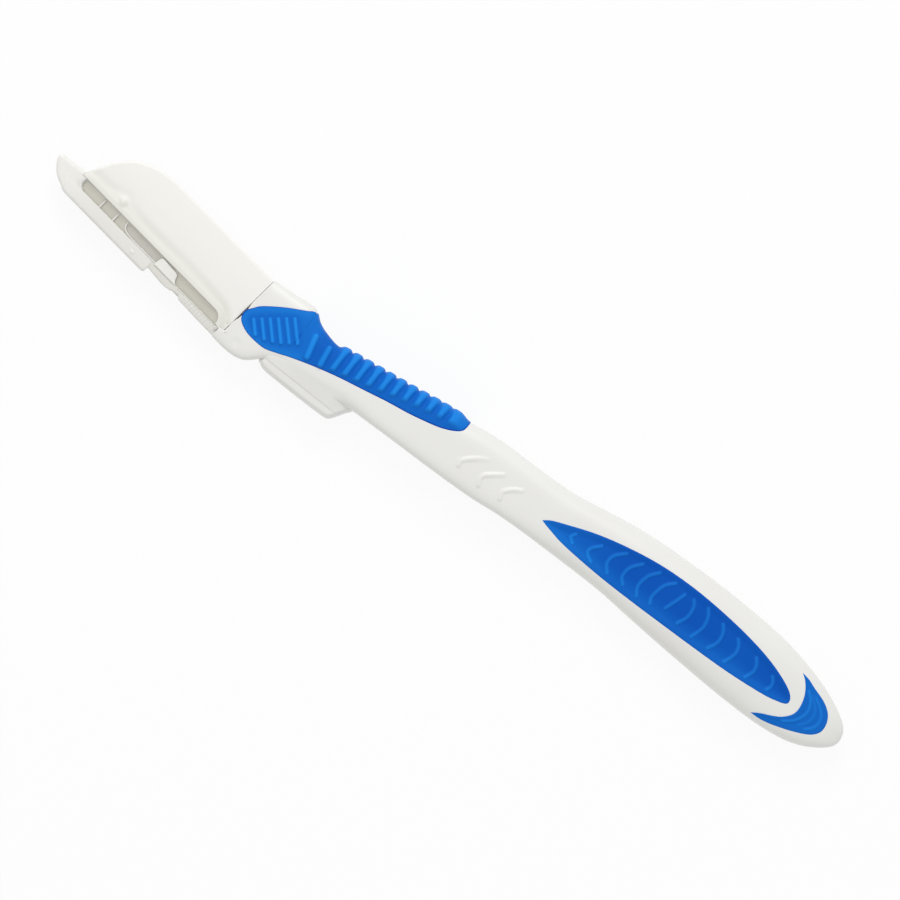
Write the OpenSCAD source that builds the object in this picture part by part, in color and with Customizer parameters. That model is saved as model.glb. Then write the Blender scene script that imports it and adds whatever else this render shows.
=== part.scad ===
// Eyebrow razor with a two-colour handle, a plug-in blade holder and a pull-off edge cover.
// It lies on its back: +X runs to the tail, +Y to the spine side, +Z to the viewer.

/* [Handle] */
// Length of the handle, from its seam with the head to the tail
handle_l = 116.2; // [105:0.1:130]
// Greatest width, over the rear bulb
body_w = 13.8; // [12.5:0.1:15.5]
// Greatest thickness, over the rear bulb, before its flat is cut
body_t = 8.8; // [8:0.1:10]
// Depth of the flat on the back that it rests on
land_d = 0.2; // [0.1:0.05:0.3]
// Squareness of the handle's sections, where 2 is an ellipse
section_power = 2.4; // [2:0.1:3]
// Gap between the head and the handle at the spine
seam_gap = 0.1; // [0.05:0.05:0.3]
// Further gap that opens toward the belly side
seam_splay = 0.4; // [0:0.1:0.6]
// Radius of the dimple on the heel
dimple_r = 0.95; // [0.6:0.05:1.2]
// Depth of that dimple
dimple_d = 0.25; // [0.1:0.05:0.4]

/* [Finger flange] */
// Reach of the flange from the handle's middle line
fin_reach = 8.1; // [7:0.1:9]
// Thickness of its web
fin_t = 1.2; // [0.8:0.1:2]
// Width of the thicker bead along its outer edge
bead_w = 1.9; // [1:0.1:2.5]
// Thickness of that bead
bead_t = 2; // [1.4:0.1:3]

/* [Soft grips] */
// Thickness of the soft skin round the neck
skin_t = 0.8; // [0.5:0.05:0.9]
// Number of cross ribs that wrap over the spine
rib_count = 11; // [6:1:11]
// Distance from one cross rib to the next
rib_pitch = 2; // [1.8:0.05:2.1]
// Width of a cross rib
rib_w = 0.95; // [0.6:0.05:1.3]
// Height of a cross rib
rib_h = 0.6; // [0.4:0.05:0.7]
// Number of thin ridges on the thumb pad
ridge_count = 6; // [3:1:6]
// Distance from one thin ridge to the next
ridge_pitch = 1.4; // [1.1:0.05:1.5]
// Width of a thin ridge
ridge_w = 0.4; // [0.3:0.05:0.6]
// Height of a thin ridge
ridge_h = 0.25; // [0.15:0.05:0.4]
// Length of the leaf inlay
leaf_l = 48.8; // [40:0.1:50]
// Width of the leaf inlay
leaf_w = 8; // [6:0.1:9]
// Length of the tail crescent
crescent_l = 10; // [8:0.1:11]
// Width of the tail crescent
crescent_w = 9.7; // [8:0.1:10]
// Depth that the inlays are dished below the white
dish_d = 0.15; // [0.05:0.05:0.3]
// Number of raised arcs each side of the leaf's middle
arc_count = 6; // [3:1:6]
// Distance from one leaf arc to the next
arc_pitch = 3.4; // [2.5:0.1:3.6]
// Width of a raised arc
arc_w = 0.4; // [0.3:0.05:0.6]
// Height of a raised arc
arc_h = 0.2; // [0.1:0.05:0.3]
// Radius of the soft runners that join front and back inlays
runner_r = 0.9; // [0.5:0.1:1.2]

/* [Head] */
// Angle by which the head bends to the belly side
head_tilt = 8.65; // [6:0.05:11]
// Length of the blade holder past each end of the blade
head_end = 1; // [0.8:0.05:3]
// Width of the holder's face, from the spine to the bared steel
face_w = 9.7; // [9.3:0.1:10.2]
// Thickness of the two holder halves together
head_t = 3.2; // [2.9:0.1:3.6]
// Rounding of the holder's outer edges
edge_round = 0.7; // [0.3:0.05:0.9]
// Length of the rounded tip of the holder
tip_round_l = 11.2; // [8:0.1:14]
// Width of the raised rail beside the steel
rail_w = 1; // [0.7:0.05:1.4]
// Height of that rail
rail_h = 0.25; // [0.1:0.05:0.4]
// Width of the valley beside the rail
valley_w = 0.9; // [0.5:0.1:1.5]
// Depth of that valley
valley_d = 0.25; // [0.1:0.05:0.4]
// Thickness of the shoulder at the tip end of the steel
shoulder_t = 0.5; // [0.4:0.05:0.6]
// Length of the tang inside the handle
tang_l = 9; // [6:0.5:10]
// Width of the tang
tang_w = 4; // [3:0.1:5]
// Thickness of the tang
tang_t = 1.6; // [1.2:0.1:1.8]
// Clearance all round the tang
tang_gap = 0.05; // [0.02:0.01:0.1]

/* [Blade] */
// Length of the blade
blade_l = 31; // [28:0.1:31.2]
// Width of the blade from back to cutting edge
blade_w = 5; // [4.6:0.1:6]
// Thickness of the blade
blade_t = 0.25; // [0.15:0.05:0.3]
// Bared width of the blade, down to the cutting edge
blade_out = 2.4; // [2.2:0.1:2.6]
// Width of the ground bevel
bevel_w = 0.45; // [0.3:0.05:0.6]
// Radius of the pegs that hold the blade
peg_r = 0.7; // [0.5:0.05:0.8]
// Clearance round the blade, its pegs and the guard
blade_fit = 0.05; // [0.02:0.01:0.1]

/* [Edge guard] */
// Thickness of the guard strip
guard_t = 0.15; // [0.1:0.05:0.2]
// Distance from one guard tooth to the next
tooth_pitch = 0.9; // [0.8:0.05:1.2]
// Width of a guard tooth
tooth_w = 0.3; // [0.2:0.05:0.4]
// Reach of the teeth past the cutting edge
tooth_reach = 0.15; // [0.1:0.05:0.2]

/* [Edge cover] */
// Clearance between the cover and what it slides along
cover_gap = 0.15; // [0.1:0.01:0.2]
// Thickness of the cover's side walls
wall_t = 0.45; // [0.35:0.05:0.6]
// Wall outside the teeth, in the tip section
tip_wall = 1.45; // [1:0.05:1.8]
// Wall outside the teeth, in the middle section
mid_wall = 0.4; // [0.35:0.05:0.8]
// Wall outside the teeth, in the heel section
heel_wall = 0.6; // [0.45:0.05:0.9]
// Length of the pull tab past the holder's tip
tab_l = 4.6; // [3:0.1:8]
// Thickness of that tab
tab_t = 1.3; // [0.8:0.1:2]
// Length of the full-thickness root behind the tab
root_l = 0.7; // [0.4:0.1:1.2]
// Length of the claw over the steel
claw_l = 5.8; // [4:0.1:6]
// Length of the clear wing beside the claw
wing_l = 7.4; // [4:0.1:7.6]
// Thickness of the clear wing
wing_t = 0.2; // [0.15:0.05:0.3]
// Width of the thin fingers over the steel
finger_w = 0.35; // [0.2:0.05:0.6]
// Width of the slits either side of the claw
slit_w = 0.35; // [0.2:0.05:0.5]
// Width of the fine grooves in the heel section
groove_w = 0.3; // [0.2:0.05:0.4]
// Depth of those grooves
groove_d = 0.12; // [0.05:0.01:0.2]
// Width of steel that shows between the holder and the cover
window_w = 1.8; // [1.4:0.1:1.9]

/* [Hidden] */
$fn = 32;
sides = 24;
over = body_t;

// Each station is its place in handle_l, spine and belly edges in body_w, and thickness in body_t
station_shares = [
    [-0.026, 0.339, -0.601, 0.455], [0, 0.337, -0.638, 0.466], [0.018, 0.34, -0.643, 0.511],
    [0.03, 0.345, -0.623, 0.545], [0.038, 0.348, -0.587, 0.568], [0.047, 0.356, -0.52, 0.593],
    [0.056, 0.364, -0.46, 0.62], [0.07, 0.364, -0.42, 0.67], [0.078, 0.319, -0.413, 0.693],
    [0.087, 0.25, -0.406, 0.718], [0.1, 0.206, -0.397, 0.75], [0.125, 0.165, -0.377, 0.795],
    [0.15, 0.187, -0.358, 0.823], [0.185, 0.225, -0.333, 0.841], [0.24, 0.283, -0.326, 0.841],
    [0.29, 0.342, -0.326, 0.841], [0.33, 0.375, -0.326, 0.835], [0.365, 0.412, -0.322, 0.827],
    [0.4, 0.428, -0.311, 0.819], [0.435, 0.425, -0.284, 0.818], [0.475, 0.428, -0.272, 0.83],
    [0.51, 0.446, -0.272, 0.849], [0.545, 0.492, -0.273, 0.874], [0.58, 0.541, -0.277, 0.9],
    [0.62, 0.58, -0.29, 0.932], [0.66, 0.597, -0.322, 0.963], [0.71, 0.606, -0.358, 0.99],
    [0.76, 0.603, -0.387, 1], [0.81, 0.583, -0.413, 0.97], [0.85, 0.554, -0.423, 0.938],
    [0.885, 0.502, -0.424, 0.876], [0.915, 0.44, -0.405, 0.793], [0.94, 0.374, -0.369, 0.7],
    [0.962, 0.293, -0.304, 0.591], [0.978, 0.21, -0.23, 0.47], [0.99, 0.118, -0.144, 0.33],
    [0.997, 0.05, -0.08, 0.2], [1, 0.018, -0.047, 0.136]];
spine_y = max([for (s = station_shares) s[1]]) * body_w;
belly_y = min([for (s = station_shares) s[2]]) * body_w;
seam_y_share = 0.324;
mid_y = (spine_y + belly_y) / 2;
mid_z = body_t / 2 - land_d;

// Smooth open curve through points, with a given number of steps between neighbours
function bend(a, b, c, d, t) =
    (2 * b + (c - a) * t + (2 * a - 5 * b + 4 * c - d) * t * t + (3 * b - a - 3 * c + d) * t * t * t) / 2;
function curve(p, steps) = concat(
    [for (i = [0:len(p) - 2], k = [0:steps - 1])
        bend(p[max(i - 1, 0)], p[i], p[i + 1], p[min(i + 2, len(p) - 1)], k / steps)],
    [p[len(p) - 1]]);
function sized(shares, size) = [for (s = shares) [s[0] * size[0], s[1] * size[1]]];
function share_path(shares) = sized(shares, [handle_l, body_w]);

// Ends of the blade and of the cover along the head, and the cover's pull tab
head_l = blade_l + 2 * head_end;
blade_u = head_end;
heel_lip_u = blade_u / 2;
cover_u = [heel_lip_u + cover_gap, head_l + cover_gap];
tab_shares = [[0, -0.923], [0.31, -0.959], [0.65, -0.98], [0.915, -0.995], [1, -1.03], [0.995, -1.1],
    [0.85, -1.2], [0.62, -1.3], [0.31, -1.37], [0, -1.42]];
tab_outline = [for (p = curve(sized(tab_shares, [tab_l, face_w]), 3)) [cover_u[1], 0] + p];
tip_x = max([for (p = tab_outline) p[0] * cos(head_tilt) - p[1] * sin(head_tilt)]);
mid_x = (handle_l - tip_x) / 2;

module placed() translate([-mid_x, -mid_y, 0]) children();
module in_head() translate([0, seam_y_share * body_w, mid_z])
    rotate([0, 0, -head_tilt]) mirror([1, 0, 0]) children();
module through(outline) translate([0, 0, -over]) linear_extrude(2 * over + body_t) polygon(outline);
module slab(z0, z1) translate([-handle_l, -handle_l, z0]) cube([3 * handle_l, 2 * handle_l, z1 - z0]);

// The handle's outer form: rings of points round the middle line, grown by extra
function share_at(x, column) = lookup(x / handle_l, [for (s = station_shares) [s[0], s[column]]]);
function station(x) = [x / handle_l, share_at(x, 1), share_at(x, 2), share_at(x, 3)];
function half_w(s) = (s[1] - s[2]) / 2 * body_w;
function centre_y(s) = (s[1] + s[2]) / 2 * body_w;
function half_t(s) = s[3] / 2 * body_t;
function squared(c) = sign(c) * pow(abs(c), 2 / section_power);
function ring_point(s, t, extra) = [
    s[0] * handle_l,
    centre_y(s) + (half_w(s) + extra) * squared(cos(t)),
    mid_z + (half_t(s) + extra) * squared(sin(t))];
module loft(rings, n) {
    last = len(rings) - 1;
    walls = [for (r = [0:last - 1], k = [0:n - 1])
        let (a = r * n + k, b = r * n + (k + 1) % n)
        each [[a, b + n, b], [a, a + n, b + n]]];
    front = [for (k = [0:n - 1]) k];
    tail = [for (k = [n - 1:-1:0]) last * n + k];
    polyhedron([for (r = rings) each r], concat(walls, [front, tail]));
}
module form(extra = 0, span_shares = [-1, 2]) loft(
    [for (s = station_shares) if (s[0] > span_shares[0] && s[0] < span_shares[1])
        [for (k = [0:sides - 1]) ring_point(s, 360 * k / sides, extra)]], sides);

// Lines of width w on the surface, standing h out of it
function normal(a, b) = let (d = b - a) [-d[1], d[0]] / norm(d);
function side_normal(p, i) = normal(p[max(i - 1, 0)], p[min(i + 1, len(p) - 1)]);
function band(p, w) = concat(
    [for (i = [0:len(p) - 1]) p[i] + w / 2 * side_normal(p, i)],
    [for (i = [len(p) - 1:-1:0]) p[i] - w / 2 * side_normal(p, i)]);
module bands(paths, w) for (p = paths) polygon(band(p, w));
line_floor_share = 0.12;
module raised_lines(h, span_shares, floor_z = line_floor_share * body_t) intersection() {
    form(h, span_shares);
    translate([0, 0, mid_z + floor_z]) linear_extrude(body_t) children();
}
module flipped() translate([0, 0, 2 * mid_z]) mirror([0, 0, 1]) children();
module both_sides() { children(); flipped() children(); }

// Thumb grip: its edge on the face, then out past the spine
pad_shares = [[0.072, 0.33], [0.063, 0.281], [0.037, 0.167], [0.011, 0.017], [0.0005, -0.065],
    [-0.001, -0.125], [0, -0.19], [0.002, -0.257], [0.012, -0.305], [0.022, -0.336],
    [0.035, -0.362], [0.05, -0.352], [0.077, -0.284], [0.103, -0.212], [0.145, -0.128],
    [0.188, -0.054], [0.23, 0.021], [0.272, 0.094], [0.309, 0.122], [0.323, 0.181], [0.332, 0.25]];
pad_edge = curve(share_path(pad_shares), 2);
pad_outline = concat(pad_edge, [
    [pad_edge[len(pad_edge) - 1][0], body_w],
    [pad_edge[0][0], body_w]]);
neck_span_shares = [-1, 0.42];
module soft_zone() difference() {
    through(pad_outline);
    form(-skin_t, neck_span_shares);
}

// Cross ribs: four rings each, two low and two raised, down to the ribs' feet
rib_start_share = 0.135;
rib_draft_share = 0.2;
rib_foot_shares = [[0.13, -0.08], [0.19, 0.01], [0.232, 0.085], [0.274, 0.15], [0.33, 0.21]];
rib_feet = share_path(rib_foot_shares);
rib_x = rib_start_share * handle_l;
rib_end_x = rib_x + (rib_count - 1) * rib_pitch + rib_w;
function over_foot(t, x) = ring_point(station(x), t, 0)[1] - lookup(x, rib_feet);
function raised(t, x, h) = ring_point(station(x), t, h * max(0, min(1, over_foot(t, x) / rib_w)));
function rib_ring(x, h) = [for (k = [0:sides - 1]) raised(360 * k / sides, x, h)];
rib_draft = rib_draft_share * rib_w;
rib_profile = [[0, 0], [rib_draft, rib_h], [rib_w - rib_draft, rib_h], [rib_w, 0]];
module ribbed_form() loft(concat(
    [for (s = station_shares) if (s[0] * handle_l < rib_x - rib_w) rib_ring(s[0] * handle_l, 0)],
    [for (i = [0:rib_count - 1], e = rib_profile) rib_ring(rib_x + i * rib_pitch + e[0], e[1])],
    [for (s = station_shares) if (s[0] * handle_l > rib_end_x + rib_w && s[0] < neck_span_shares[1])
        rib_ring(s[0] * handle_l, 0)]), sides);

// The two short ribs and the thin ridges of the thumb pad
short_rib_shares = [[[0.093, 0.127], [0.102, -0.148]], [[0.118, 0.123], [0.122, -0.117]]];
ridge_start_shares = [0.011, -0.15];
ridge_run_shares = [0.0145, -0.156];
ridge_step_shares = [0.81, 0.55];
function ridge_at(i) = share_path([ridge_start_shares])[0] + i * ridge_pitch * ridge_step_shares;
ridge_paths = [for (i = [0:ridge_count - 1])
    [ridge_at(i), ridge_at(i) + share_path([ridge_run_shares])[0]]];
short_rib_paths = [for (s = short_rib_shares) share_path(s)];

// Tail crescent
crescent_start_share = 0.882;
crescent_shares = [[0, -0.51], [0.14, -0.455], [0.29, -0.33], [0.4, -0.19], [0.45, -0.06],
    [0.44, 0.1], [0.38, 0.29], [0.24, 0.48], [0.42, 0.475], [0.6, 0.425], [0.76, 0.345],
    [0.9, 0.22], [0.99, 0.05], [0.985, -0.1], [0.91, -0.24], [0.75, -0.325], [0.56, -0.385],
    [0.34, -0.445], [0.14, -0.51]];
crescent_at = [crescent_start_share * handle_l, 0];
crescent_outline = [for (p = curve(sized(crescent_shares, [crescent_l, crescent_w]), 2)) crescent_at + p];
crescent_floor_share = 0.15;
crescent_runner_shares = [[0.72, 0]];

// Leaf inlay and its arcs
leaf_nest_share = 0.313;
leaf_shares = [[0, -0.05], [0.025, 0.06], [0.066, 0.165], [0.169, 0.39], [0.281, 0.555], [0.4, 0.665],
    [0.529, 0.695], [0.668, 0.645], [0.793, 0.545], [0.889, 0.41], [0.965, 0.23], [0.995, 0.08],
    [0.995, -0.06], [0.96, -0.14], [0.906, -0.2], [0.783, -0.26], [0.652, -0.28], [0.52, -0.285],
    [0.389, -0.285], [0.254, -0.265], [0.113, -0.2], [0.04, -0.115]];
leaf_at = [crescent_at[0] + leaf_nest_share * crescent_l - leaf_l, 0];
leaf_outline = [for (p = curve(sized(leaf_shares, [leaf_l, leaf_w]), 2)) leaf_at + p];
leaf_floor_share = 0.28;
leaf_runner_shares = [[0.38, 0.18], [0.72, 0.18]];
arc_height_shares = [-0.18, 0.57];
arc_bow_share = 0.45;
function leaf_arc(i) = [for (t = [0:0.25:1]) [
    leaf_at[0] + leaf_l / 2 + i * arc_pitch + arc_bow_share * arc_pitch * i / arc_count * sin(180 * t),
    (arc_height_shares[0] + (arc_height_shares[1] - arc_height_shares[0]) * t) * leaf_w]];
leaf_arcs = [for (i = [-arc_count:arc_count]) leaf_arc(i)];
arc_margin = 2 * arc_w;
leaf_span_shares = [0.46, 0.95];

// Raised arcs in the white between the grip and the leaf
brow_shares = [
    [[0.353, -0.1], [0.3515, -0.055], [0.3535, -0.01], [0.361, 0.05], [0.371, 0.1], [0.381, 0.14]],
    [[0.393, -0.113], [0.3915, -0.075], [0.393, -0.039], [0.398, 0.02], [0.405, 0.062]],
    [[0.428, -0.106], [0.427, -0.06], [0.429, -0.017], [0.435, 0.04], [0.445, 0.087]]];
brow_paths = [for (s = brow_shares) share_path(s)];
brow_span_shares = [0.32, 0.48];
tail_span_shares = [0.86, 2];

// An inlay from its floor, so far from the handle's middle, out to the dished surface
module above(outline, floor_z) translate([0, 0, mid_z + floor_z]) linear_extrude(over) polygon(outline);
module inlay(outline, floor_z, span_shares) intersection() {
    form(-dish_d, span_shares);
    above(outline, floor_z);
}
module pockets(outline, floor_z) both_sides() above(outline, floor_z);
module runners(shares, at, size, floor_z) for (s = shares)
    translate([at[0] + s[0] * size[0], s[1] * size[1], mid_z - floor_z])
        cylinder(r = runner_r, h = 2 * floor_z + runner_r / 2);
leaf_floor = leaf_floor_share * body_t;
crescent_floor = crescent_floor_share * body_t;

// Finger flange on the belly side
fin_shares = [[0.047, -0.3], [0.0475, -0.89], [0.0535, -0.905], [0.064, -0.96], [0.091, -0.983],
    [0.134, -1], [0.162, -1], [0.171, -0.99], [0.1765, -0.94], [0.181, -0.85], [0.188, -0.7],
    [0.196, -0.55], [0.19, -0.3]];
fin_outline = sized(fin_shares, [handle_l, fin_reach]);
bead_span_shares = [0.08, 0.182];
bead_span = bead_span_shares * handle_l;
module fin() {
    translate([0, 0, mid_z - fin_t / 2]) linear_extrude(fin_t) polygon(fin_outline);
    intersection() {
        translate([0, 0, mid_z - bead_t / 2]) linear_extrude(bead_t) polygon(fin_outline);
        through([
            [bead_span[0], bead_w - fin_reach], [bead_span[1], bead_w - fin_reach],
            [bead_span[1], -2 * fin_reach], [bead_span[0], -2 * fin_reach]]);
    }
}

// Places on the head: u runs from the bend toward the tip, v from the spine edge
seam_u_share = -0.012;
seam_u = seam_u_share * head_l;
rear_u = seam_u + seam_gap;
edge_v = -face_w - blade_out;
blade_top_v = edge_v + blade_w;
teeth_v = edge_v - tooth_reach;
cavity_v = teeth_v - cover_gap;
lip_v = -face_w - window_w;
shoulder_v = lip_v + cover_gap;
window_lap_share = 0.16;
window_lap = window_lap_share * (blade_w - blade_out);
window_u = [blade_u + window_lap, blade_u + blade_l - window_lap];
window_round = window_w - cover_gap;
window_centre = [window_u[0] + window_round, -face_w - window_round];
guard_u = [window_u[0] + blade_fit, window_u[1] - blade_fit];
guard_top_share = 0.27;
guard_top_v = -face_w + guard_top_share * (blade_w - blade_out);
peg_top_share = 0.4;
peg_v = blade_top_v - peg_top_share * (blade_w - blade_out);
peg_shares = [0.2, 0.48, 0.76];
inner_z = shoulder_t + cover_gap;
outer_z = inner_z + wall_t;
module box(low, high) translate(low) cube(high - low);

// What the head takes out of the handle's front end
module front_cut() through([
    [seam_u, over], [seam_u, shoulder_v - cover_gap], [heel_lip_u, shoulder_v - cover_gap],
    [heel_lip_u, -2 * over], [head_l, -2 * over], [head_l, over]]);
tang_v_share = -0.27;
module tang(grow) box(
    [seam_u - tang_l - grow, tang_v_share * face_w - tang_w - grow, -tang_t / 2 - grow],
    [rear_u + seam_splay + grow, tang_v_share * face_w + grow, tang_t / 2 + grow]);
key_shares = [-1.01, -0.95];
module key(grow) box(
    [2 * seam_u - grow, key_shares[0] * face_w - grow, 0],
    [rear_u + seam_splay, key_shares[1] * face_w + grow, head_t / 2 + grow]);
dimple_shares = [0.012, -0.504, 0.24];
dimple_at = [dimple_shares[0] * handle_l, dimple_shares[1] * body_w, dimple_shares[2] * body_t];
module dimple() translate(dimple_at + [0, 0, mid_z + dimple_r - dimple_d]) sphere(dimple_r);

module handle_core() color("white") placed() difference() {
    union() {
        difference() {
            form();
            soft_zone();
            pockets(leaf_outline, leaf_floor);
            pockets(crescent_outline, crescent_floor);
        }
        both_sides() raised_lines(arc_h, brow_span_shares) bands(brow_paths, arc_w);
        fin();
    }
    runners(leaf_runner_shares, leaf_at, [leaf_l, leaf_w], leaf_floor);
    runners(crescent_runner_shares, crescent_at, [crescent_l, crescent_w], crescent_floor);
    in_head() {
        front_cut();
        tang(tang_gap);
        key(tang_gap);
    }
    dimple();
    slab(-over, 0);
}
module thumb_grip() color("royalblue") placed() difference() {
    intersection() {
        union() {
            ribbed_form();
            both_sides() {
                raised_lines(rib_h, neck_span_shares) bands(short_rib_paths, rib_w);
                raised_lines(ridge_h, neck_span_shares) bands(ridge_paths, ridge_w);
            }
        }
        soft_zone();
    }
    in_head() front_cut();
    slab(-over, 0);
}
module leaf_inlay() {
    inlay(leaf_outline, leaf_floor, leaf_span_shares);
    raised_lines(arc_h - dish_d, leaf_span_shares, leaf_floor + dish_d) intersection() {
        bands(leaf_arcs, arc_w);
        offset(delta = -arc_margin) polygon(leaf_outline);
    }
}
module front_leaf_inlay() color("royalblue") placed() {
    leaf_inlay();
    runners(leaf_runner_shares, leaf_at, [leaf_l, leaf_w], leaf_floor);
}
module back_leaf_inlay() color("royalblue") placed() difference() {
    flipped() leaf_inlay();
    slab(-over, 0);
}
module front_tail_inlay() color("royalblue") placed() {
    inlay(crescent_outline, crescent_floor, tail_span_shares);
    runners(crescent_runner_shares, crescent_at, [crescent_l, crescent_w], crescent_floor);
}
module back_tail_inlay() color("royalblue") placed() flipped()
    inlay(crescent_outline, crescent_floor, tail_span_shares);

// One half of the blade holder, from the parting plane up
tip_shares = [[0, 0], [0.28, -0.046], [0.5, -0.155], [0.62, -0.245], [0.745, -0.405], [0.825, -0.55],
    [0.915, -0.775], [0.98, -0.93], [1, -1]];

function window_arc(r) = [for (t = [0:15:90]) window_centre + r * [-sin(t), cos(t)]];
function reversed(p) = [for (i = [len(p) - 1:-1:0]) p[i]];
function face_at(inset) = concat(
    [[rear_u, -inset]],
    [for (p = curve(sized(tip_shares, [tip_round_l - inset, face_w - inset]), 3))
        [head_l - tip_round_l, -inset] + p],
    window_arc(window_round),
    [[rear_u + seam_splay, shoulder_v]]);
rim_outline = concat(
    [[window_u[1], rail_w - face_w]],
    window_arc(window_round + rail_w),
    reversed(window_arc(window_round)),
    [[window_u[1], -face_w]]);
module pegs(r, z0, z1) for (s = peg_shares)
    translate([blade_u + s * blade_l, peg_v, z0]) cylinder(r = r, h = z1 - z0);
module holder_half() difference() {
    union() {
        for (t = [0:30:90]) linear_extrude(head_t / 2 - edge_round * (1 - sin(t)))
            polygon(face_at(edge_round * (1 - cos(t))));
        linear_extrude(head_t / 2 + rail_h) polygon(rim_outline);
        box([window_u[1], shoulder_v, 0], [head_l, rail_w - face_w, shoulder_t]);
    }
    box([blade_u - blade_fit, cavity_v, -over],
        [blade_u + blade_l + blade_fit, blade_top_v + blade_fit, blade_t / 2]);
    box([window_u[0], rail_w - face_w, head_t / 2 - valley_d],
        [window_u[1], rail_w + valley_w - face_w, over]);
}
module holder_front() color("ivory") placed() in_head() {
    difference() {
        holder_half();
        pegs(peg_r + blade_fit, -over, head_t / 4 + blade_fit);
        tang(tang_gap);
    }
    key(0);
}
module holder_back() color("ivory") placed() in_head() {
    difference() {
        mirror([0, 0, 1]) holder_half();
        box([guard_u[0] - blade_fit, cavity_v, -blade_t / 2 - guard_t],
            [guard_u[1] + blade_fit, guard_top_v + blade_fit, over]);
    }
    pegs(peg_r, -head_t / 4, head_t / 4);
    tang(0);
}

module blade() color("silver") placed() in_head() difference() {
    translate([blade_u, 0, 0]) rotate([90, 0, 90]) linear_extrude(blade_l) polygon([
        [blade_top_v, blade_t / 2], [edge_v + bevel_w, blade_t / 2], [edge_v, 0],
        [edge_v + bevel_w, -blade_t / 2], [blade_top_v, -blade_t / 2]]);
    pegs(peg_r + blade_fit, -blade_t, blade_t);
}

// Comb behind the blade, whose teeth wrap its cutting edge
module edge_guard() color("whitesmoke") placed() in_head() {
    teeth = floor((guard_u[1] - guard_u[0] - tooth_w) / tooth_pitch);
    face_z = blade_t / 2 + guard_t;
    box([guard_u[0], edge_v + bevel_w, -face_z], [guard_u[1], guard_top_v, -blade_t / 2]);
    difference() {
        for (i = [0:teeth]) translate([guard_u[0] + i * tooth_pitch, 0, 0])
            box([0, teeth_v, -face_z], [tooth_w, edge_v + bevel_w + tooth_w / 2, face_z]);
        box([0, edge_v, -blade_t / 2], [head_l, 0, blade_t / 2]);
    }
}

// Cover over the cutting edge, open at its heel end so that it slides off toward the tip
claw_at_share = 0.28;
claw_u = [claw_at_share * head_l, claw_at_share * head_l + claw_l];
finger_shares = [0.743, 0.833];
channel_outline = [
    [cover_u[0], lip_v], [cover_u[0], cavity_v - heel_wall],
    [claw_u[0] - 3 * slit_w, cavity_v - heel_wall], [claw_u[0] - slit_w, cavity_v - mid_wall / 4],
    [claw_u[0], cavity_v - mid_wall / 4], [claw_u[0] + claw_l / 3, cavity_v - mid_wall],
    [claw_u[1] + 2 * slit_w, cavity_v - mid_wall], [claw_u[1] + slit_w, cavity_v - tip_wall],
    [cover_u[1] + root_l, cavity_v - tip_wall], [cover_u[1] + root_l, -face_w], [cover_u[1], -face_w],
    [cover_u[1], lip_v]];
module edge_cover() color("gainsboro", 0.8) placed() in_head() difference() {
    union() {
        translate([0, 0, -outer_z]) linear_extrude(2 * outer_z) polygon(channel_outline);
        translate([0, 0, -tab_t / 2]) linear_extrude(tab_t) polygon(tab_outline);
        box([window_centre[0], lip_v, -outer_z], [cover_u[1], -face_w - cover_gap, -inner_z]);
        box([claw_u[0], lip_v, inner_z], [claw_u[1], -face_w - cover_gap, outer_z]);
        box([claw_u[1], lip_v + slit_w / 2, inner_z],
            [claw_u[1] + wing_l, -face_w - cover_gap, inner_z + wing_t]);
        for (s = finger_shares) box(
            [s * head_l - finger_w / 2, lip_v, inner_z],
            [s * head_l + finger_w / 2, -face_w - cover_gap, inner_z + wall_t / 2]);
    }
    box([-head_l, cavity_v, -inner_z], [cover_u[1], 0, inner_z]);
    for (u = [claw_u[0] - slit_w, claw_u[1]])
        box([u, -over - head_l, -inner_z], [u + slit_w, lip_v, over]);
    for (u = [cover_u[0] + groove_w:2 * groove_w:claw_u[0] - 4 * slit_w])
        box([u, -head_l, outer_z - groove_d], [u + groove_w, lip_v - groove_w, over]);
}

handle_core();
thumb_grip();
front_leaf_inlay();
back_leaf_inlay();
front_tail_inlay();
back_tail_inlay();
holder_front();
holder_back();
blade();
edge_guard();
edge_cover();
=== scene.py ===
# %% [markdown]
# # An eyebrow razor, dressed
# The object is a slim razor for shaping eyebrows: a white moulded handle with blue soft grips, a flat
# cream head that clamps a strip of steel, and a milky cover that slides off the cutting edge.
# The solids of the frame already have the right sizes and joints. Here each visible surface is made
# again with finer detail, in millimetres, and set in the same place.

import bmesh
import bpy
import numpy as np
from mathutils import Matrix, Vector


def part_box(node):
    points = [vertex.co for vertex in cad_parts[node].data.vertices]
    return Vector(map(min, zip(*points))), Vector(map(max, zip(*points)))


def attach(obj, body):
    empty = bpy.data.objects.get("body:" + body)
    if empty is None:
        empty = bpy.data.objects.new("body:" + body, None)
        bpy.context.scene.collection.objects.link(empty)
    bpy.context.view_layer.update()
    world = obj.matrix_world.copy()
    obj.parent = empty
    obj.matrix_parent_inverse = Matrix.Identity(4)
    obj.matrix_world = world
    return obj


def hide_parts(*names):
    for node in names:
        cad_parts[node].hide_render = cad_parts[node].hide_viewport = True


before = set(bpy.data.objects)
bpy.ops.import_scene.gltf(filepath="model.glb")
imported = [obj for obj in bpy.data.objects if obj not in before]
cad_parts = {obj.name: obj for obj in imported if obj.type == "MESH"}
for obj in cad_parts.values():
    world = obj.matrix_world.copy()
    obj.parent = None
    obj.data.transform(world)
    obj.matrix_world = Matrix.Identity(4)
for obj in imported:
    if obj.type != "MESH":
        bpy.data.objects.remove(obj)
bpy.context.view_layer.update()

# %% [markdown]
# ## Places
# Sizes are in millimetres. Along the handle, x runs from its seam with the head to the tail, y to the
# spine side and z up from the middle of its thickness. The razor rests on a small flat spot of the
# bulb, so nothing goes below that. The head has a frame of its own: u runs to the tip, v to the spine
# edge, and the whole frame is turned by a few degrees and mirrored. One function for each frame turns
# a point into the place where the solids lie.

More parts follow.
